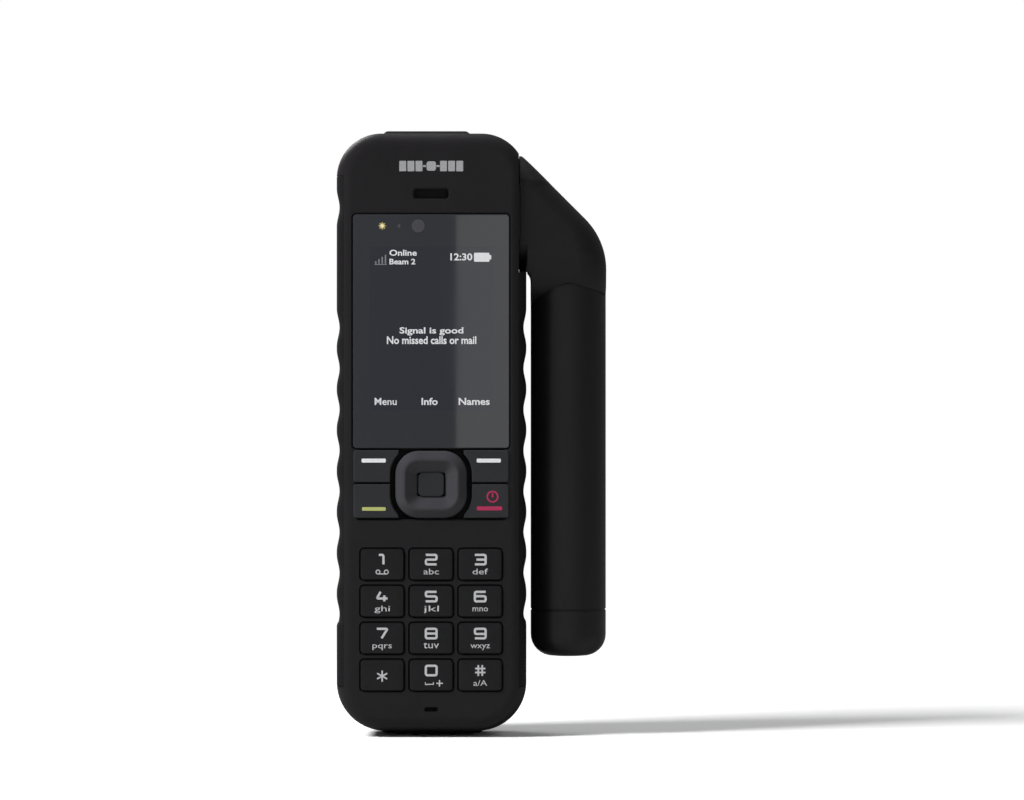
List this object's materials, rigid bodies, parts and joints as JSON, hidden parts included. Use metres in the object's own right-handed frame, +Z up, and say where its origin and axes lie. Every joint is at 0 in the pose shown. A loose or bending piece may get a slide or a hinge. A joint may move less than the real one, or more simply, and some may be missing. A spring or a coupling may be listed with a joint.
{
  "type": "satellite phone",
  "caption": "Rugged handheld satellite phone with keypad, display and a tubular antenna on a side arm that swings from beside the body to above it.",
  "frame": {"origin": "under the middle of the handset, on the plane of the lip of the bottom flap, which is the lowest face; Y is zero on the swing axis of the antenna, midway through the depth of the housing", "axes": "+Z up the handset from the microphone to the earpiece; -Y out of the keypad and display towards the user; +X to the user's right, towards the antenna"},
  "size_m": [0.0752, 0.036, 0.169],
  "materials": {
    "housing_plastic": "fine moulded texture, satin black",
    "grip_rubber": "soft matte black elastomer",
    "seal_rubber": "grey silicone",
    "window_glass": "hard coated clear window over a dark print",
    "display_film": "dark display",
    "key_plastic": "satin dark grey with light legends",
    "nav_plastic": "satin dark metallic paint",
    "bright_steel": "nickel silver",
    "black_mesh": "fine black acoustic mesh",
    "board_green": "solder mask",
    "socket_plastic": "moulded black",
    "gold_plate": "gold plated",
    "bush_plastic": "natural acetal",
    "button_red": "satin red",
    "pack_plastic": "fine black shell with a plain label",
    "former_plastic": "natural plastic",
    "copper_strip": "copper",
    "cable_jacket": "smooth jacket"
  },
  "bodies": {
    "handset": {"front_housing": "housing_plastic", "rear_housing": "housing_plastic", "side_grip_left": "grip_rubber", "side_grip_right": "grip_rubber", "housing_seal": "seal_rubber", "display_window": "window_glass", "display_panel": "display_film", "status_led": "display_film", "light_sensor": "display_film", "earpiece_speaker": "bright_steel", "earpiece_mesh": "black_mesh", "microphone": "black_mesh", "keypad_mat": "seal_rubber", "main_board": "board_green", "shield_cans": "bright_steel", "loudspeaker": "bright_steel", "usb_socket": "bright_steel", "headset_socket": "socket_plastic", "antenna_port": "gold_plate", "battery_contacts": "gold_plate", "sim_holder": "bright_steel", "case_screws": "bright_steel", "hinge_bush": "bush_plastic", "hinge_seal": "seal_rubber"},
    "antenna": {"arm_front": "housing_plastic", "arm_rear": "housing_plastic", "radome": "housing_plastic", "antenna_core": "former_plastic", "antenna_helix": "copper_strip", "hinge_shaft": "bright_steel", "retaining_clip": "bright_steel", "coax_cable": "cable_jacket"},
    "key_1": {"key_1": "key_plastic"},
    "key_2": {"key_2": "key_plastic"},
    "key_3": {"key_3": "key_plastic"},
    "key_4": {"key_4": "key_plastic"},
    "key_5": {"key_5": "key_plastic"},
    "key_6": {"key_6": "key_plastic"},
    "key_7": {"key_7": "key_plastic"},
    "key_8": {"key_8": "key_plastic"},
    "key_9": {"key_9": "key_plastic"},
    "key_star": {"key_star": "key_plastic"},
    "key_0": {"key_0": "key_plastic"},
    "key_hash": {"key_hash": "key_plastic"},
    "soft_key_left": {"soft_key_left": "key_plastic"},
    "soft_key_right": {"soft_key_right": "key_plastic"},
    "call_key": {"call_key": "key_plastic"},
    "end_key": {"end_key": "key_plastic"},
    "nav_pad": {"nav_pad": "seal_rubber"},
    "nav_ring": {"nav_ring": "nav_plastic"},
    "select_key": {"select_key": "key_plastic"},
    "volume_rocker": {"volume_rocker": "grip_rubber"},
    "assist_cover": {"assist_cover": "grip_rubber"},
    "assist_button": {"assist_button": "button_red"},
    "port_flap": {"port_flap": "grip_rubber"},
    "antenna_port_cap": {"antenna_port_cap": "grip_rubber"},
    "battery_cover": {"battery_cover": "housing_plastic"},
    "cover_screw": {"cover_screw": "bright_steel"},
    "battery_pack": {"battery_pack": "pack_plastic"},
    "sim_lid": {"sim_lid": "bright_steel"}
  },
  "joints": [
    {"name": "antenna_swing", "type": "hinge", "parent": "handset", "child": "antenna", "pos_m": [0.025, 0, 0.1459], "axis": [1, 0, 0], "range_deg": [0, 180]},
    {"name": "assist_cover_swing", "type": "hinge", "parent": "handset", "child": "assist_cover", "pos_m": [-0.0015, 0.0072, 0.168], "axis": [-1, 0, 0], "range_deg": [0, 110]},
    {"name": "assist_button_press", "type": "slide", "parent": "handset", "child": "assist_button", "axis": [0, 0, -1], "range_m": [0, 0.0006]},
    {"name": "battery_cover_lift", "type": "slide", "parent": "handset", "child": "battery_cover", "axis": [0, 1, 0], "range_m": [0, 0.04]},
    {"name": "battery_pack_lift", "type": "slide", "parent": "handset", "child": "battery_pack", "axis": [0, 1, 0], "range_m": [0, 0.02]},
    {"name": "sim_lid_slide", "type": "slide", "parent": "handset", "child": "sim_lid", "axis": [0, 0, 1], "range_m": [0, 0.0012]},
    {"name": "cover_screw_turn", "type": "hinge", "parent": "battery_cover", "child": "cover_screw", "pos_m": [0, 0.0172, 0.0182], "axis": [0, 1, 0], "range_deg": [0, 720]},
    {"name": "port_flap_swing", "type": "hinge", "parent": "handset", "child": "port_flap", "pos_m": [0, 0.0072, 0.0016], "axis": [1, 0, 0], "range_deg": [0, 110]},
    {"name": "cap_swing", "type": "hinge", "parent": "handset", "child": "antenna_port_cap", "pos_m": [-0.0205, 0.0146, 0.1488], "axis": [0, 0, 1], "range_deg": [0, 110]},
    {"name": "nav_tilt_up_down", "type": "hinge", "parent": "handset", "child": "nav_pad", "pos_m": [0, -0.013, 0.07025], "axis": [1, 0, 0], "range_deg": [-2.5, 2.5]},
    {"name": "nav_tilt_left_right", "type": "hinge", "parent": "nav_pad", "child": "nav_ring", "pos_m": [0, -0.013, 0.07025], "axis": [0, 0, 1], "range_deg": [-2.5, 2.5]},
    {"name": "select_press", "type": "slide", "parent": "handset", "child": "select_key", "axis": [0, 1, 0], "range_m": [0, 0.0004]},
    {"name": "volume_rock", "type": "hinge", "parent": "handset", "child": "volume_rocker", "pos_m": [-0.0243, 0, 0.1302], "axis": [0, 1, 0], "range_deg": [-2.5, 2.5]},
    {"name": "key_1_press", "type": "slide", "parent": "handset", "child": "key_1", "axis": [0, 1, 0], "range_m": [0, 0.0005]},
    {"name": "key_2_press", "type": "slide", "parent": "handset", "child": "key_2", "axis": [0, 1, 0], "range_m": [0, 0.0005]},
    {"name": "key_3_press", "type": "slide", "parent": "handset", "child": "key_3", "axis": [0, 1, 0], "range_m": [0, 0.0005]},
    {"name": "key_4_press", "type": "slide", "parent": "handset", "child": "key_4", "axis": [0, 1, 0], "range_m": [0, 0.0005]},
    {"name": "key_5_press", "type": "slide", "parent": "handset", "child": "key_5", "axis": [0, 1, 0], "range_m": [0, 0.0005]},
    {"name": "key_6_press", "type": "slide", "parent": "handset", "child": "key_6", "axis": [0, 1, 0], "range_m": [0, 0.0005]},
    {"name": "key_7_press", "type": "slide", "parent": "handset", "child": "key_7", "axis": [0, 1, 0], "range_m": [0, 0.0005]},
    {"name": "key_8_press", "type": "slide", "parent": "handset", "child": "key_8", "axis": [0, 1, 0], "range_m": [0, 0.0005]},
    {"name": "key_9_press", "type": "slide", "parent": "handset", "child": "key_9", "axis": [0, 1, 0], "range_m": [0, 0.0005]},
    {"name": "key_star_press", "type": "slide", "parent": "handset", "child": "key_star", "axis": [0, 1, 0], "range_m": [0, 0.0005]},
    {"name": "key_0_press", "type": "slide", "parent": "handset", "child": "key_0", "axis": [0, 1, 0], "range_m": [0, 0.0005]},
    {"name": "key_hash_press", "type": "slide", "parent": "handset", "child": "key_hash", "axis": [0, 1, 0], "range_m": [0, 0.0005]},
    {"name": "soft_key_left_press", "type": "slide", "parent": "handset", "child": "soft_key_left", "axis": [0, 1, 0], "range_m": [0, 0.0005]},
    {"name": "soft_key_right_press", "type": "slide", "parent": "handset", "child": "soft_key_right", "axis": [0, 1, 0], "range_m": [0, 0.0005]},
    {"name": "call_key_press", "type": "slide", "parent": "handset", "child": "call_key", "axis": [0, 1, 0], "range_m": [0, 0.0005]},
    {"name": "end_key_press", "type": "slide", "parent": "handset", "child": "end_key", "axis": [0, 1, 0], "range_m": [0, 0.0005]}
  ],
  "couplings": [
    {"joint": "battery_pack_lift", "follows": "battery_cover_lift", "ratio": 0.5}
  ]
}
